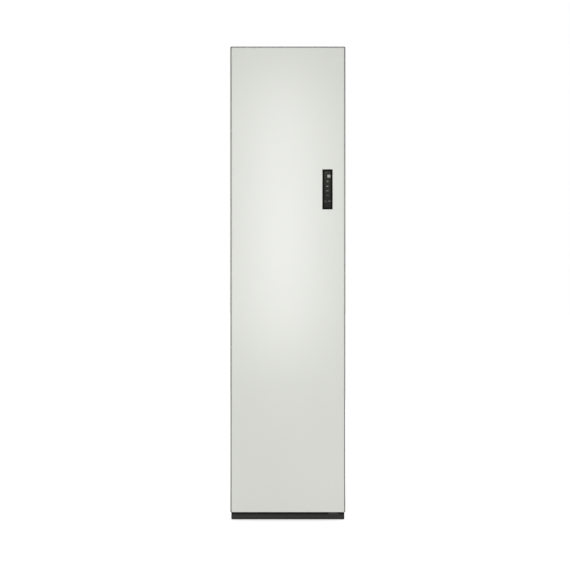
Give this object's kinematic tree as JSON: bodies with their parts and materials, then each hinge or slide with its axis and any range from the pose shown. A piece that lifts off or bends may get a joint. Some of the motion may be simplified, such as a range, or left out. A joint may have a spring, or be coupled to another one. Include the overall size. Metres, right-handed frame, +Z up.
{
  "type": "clothes care steam cabinet",
  "caption": "Tall slim clothes steam cabinet: flat hinged door with a black control strip, chamber with hangers and shelf, pull-out water tanks, heat pump base on a recessed plinth.",
  "frame": {"origin": "on the floor under the middle of the closed cabinet's outer box", "axes": "+Z up, the door faces -Y, +X to the right of a person who faces the door"},
  "size_m": [0.445, 0.632, 1.85],
  "materials": {
    "door_white": "warm off-white satin panel",
    "edge_grey": "mid-grey satin anodised",
    "casing_grey": "mid-grey fine-textured powder coat on steel sheet",
    "plinth_black": "charcoal moulded plastic",
    "black_glass": "glossy black touch window",
    "chamber_grey": "light grey satin moulding",
    "inner_grey": "mid-light grey moulding",
    "dark_plastic": "dark grey moulding with a fine grain",
    "zinc_steel": "galvanised steel sheet",
    "fin_aluminium": "bare aluminium",
    "black_steel": "black painted steel",
    "motor_black": "black painted motor and compressor shell, mostly hollow inside",
    "copper": "bare copper pipe",
    "tank_plastic": "smoke-blue translucent plastic",
    "gasket_rubber": "grey soft seal",
    "foot_rubber": "black rubber over a steel stud",
    "foam": "cream expanded foam",
    "board_green": "green circuit board",
    "lamp_white": "opal lamp cover"
  },
  "bodies": {
    "cabinet": {"upper_hinge_bracket": "zinc_steel", "upper_hinge_cover": "casing_grey", "lower_hinge_bracket": "black_steel", "kick_plate": "plinth_black", "base_pan": "black_steel", "left_side_panel": "casing_grey", "right_side_panel": "casing_grey", "top_cover": "casing_grey", "back_panel": "zinc_steel", "rear_service_cover": "zinc_steel", "cord_gland": "plinth_black", "front_frame": "inner_grey", "left_liner": "chamber_grey", "right_liner": "chamber_grey", "back_liner": "chamber_grey", "floor_panel": "chamber_grey", "ceiling_panel": "chamber_grey", "chamber_lamp": "lamp_white", "tank_bay": "inner_grey", "heat_pump_case": "dark_plastic", "evaporator": "fin_aluminium", "condenser": "fin_aluminium", "compressor": "motor_black", "refrigerant_pipe": "copper", "lower_fan_motor": "motor_black", "upper_fan_motor": "motor_black", "steam_generator": "fin_aluminium", "steam_pipe": "dark_plastic", "feed_pump": "dark_plastic", "drain_pump": "dark_plastic", "rear_air_duct": "inner_grey", "upper_plenum": "inner_grey", "board_case": "zinc_steel", "main_board": "board_green"},
    "door": {"door_front_panel": "door_white", "door_frame": "edge_grey", "door_foam": "foam", "door_top_cap": "dark_plastic", "door_bottom_cap": "dark_plastic", "door_liner": "chamber_grey", "door_gasket": "gasket_rubber", "grip_moulding": "dark_plastic", "control_window": "black_glass", "control_board": "board_green"},
    "front_left_foot": {"front_left_foot": "foot_rubber"},
    "front_right_foot": {"front_right_foot": "foot_rubber"},
    "rear_left_foot": {"rear_left_foot": "foot_rubber"},
    "rear_right_foot": {"rear_right_foot": "foot_rubber"},
    "supply_tank": {"supply_tank": "tank_plastic", "supply_tank_lid": "dark_plastic"},
    "drain_tank": {"drain_tank": "tank_plastic", "drain_tank_lid": "dark_plastic"},
    "lint_filter": {"lint_filter": "dark_plastic"},
    "shelf": {"shelf": "chamber_grey"},
    "hanger_left": {"hanger_left": "dark_plastic"},
    "hanger_centre": {"hanger_centre": "dark_plastic"},
    "hanger_right": {"hanger_right": "dark_plastic"},
    "upper_fan": {"upper_fan_wheel": "dark_plastic"},
    "lower_fan": {"lower_fan_wheel": "dark_plastic"}
  },
  "joints": [
    {"name": "door_hinge", "type": "hinge", "parent": "cabinet", "child": "door", "pos_m": [0.2085, -0.288, 0.0414], "axis": [0, 0, 1], "range_deg": [0, 110]},
    {"name": "front_left_foot_screw", "type": "slide", "parent": "cabinet", "child": "front_left_foot", "axis": [0, 0, -1], "range_m": [0, 0.012]},
    {"name": "front_right_foot_screw", "type": "slide", "parent": "cabinet", "child": "front_right_foot", "axis": [0, 0, -1], "range_m": [0, 0.012]},
    {"name": "rear_left_foot_screw", "type": "slide", "parent": "cabinet", "child": "rear_left_foot", "axis": [0, 0, -1], "range_m": [0, 0.012]},
    {"name": "rear_right_foot_screw", "type": "slide", "parent": "cabinet", "child": "rear_right_foot", "axis": [0, 0, -1], "range_m": [0, 0.012]},
    {"name": "supply_tank_slide", "type": "slide", "parent": "cabinet", "child": "supply_tank", "axis": [0, -1, 0], "range_m": [0, 0.058]},
    {"name": "drain_tank_slide", "type": "slide", "parent": "cabinet", "child": "drain_tank", "axis": [0, -1, 0], "range_m": [0, 0.058]},
    {"name": "lint_filter_lift", "type": "slide", "parent": "cabinet", "child": "lint_filter", "axis": [0, 0, 1], "range_m": [0, 0.08]},
    {"name": "shelf_lift", "type": "slide", "parent": "cabinet", "child": "shelf", "axis": [0, 0, 1], "range_m": [0, 0.12]},
    {"name": "hanger_left_pull", "type": "slide", "parent": "cabinet", "child": "hanger_left", "axis": [0, 0, -1], "range_m": [0, 0.06]},
    {"name": "hanger_centre_pull", "type": "slide", "parent": "cabinet", "child": "hanger_centre", "axis": [0, 0, -1], "range_m": [0, 0.06]},
    {"name": "hanger_right_pull", "type": "slide", "parent": "cabinet", "child": "hanger_right", "axis": [0, 0, -1], "range_m": [0, 0.06]},
    {"name": "upper_fan_spin", "type": "hinge", "parent": "cabinet", "child": "upper_fan", "pos_m": [0, 0.0964, 1.72], "axis": [0, 0, 1], "continuous": true},
    {"name": "lower_fan_spin", "type": "hinge", "parent": "cabinet", "child": "lower_fan", "pos_m": [0.092, 0.1, 0.28], "axis": [0, 0, 1], "continuous": true}
  ]
}
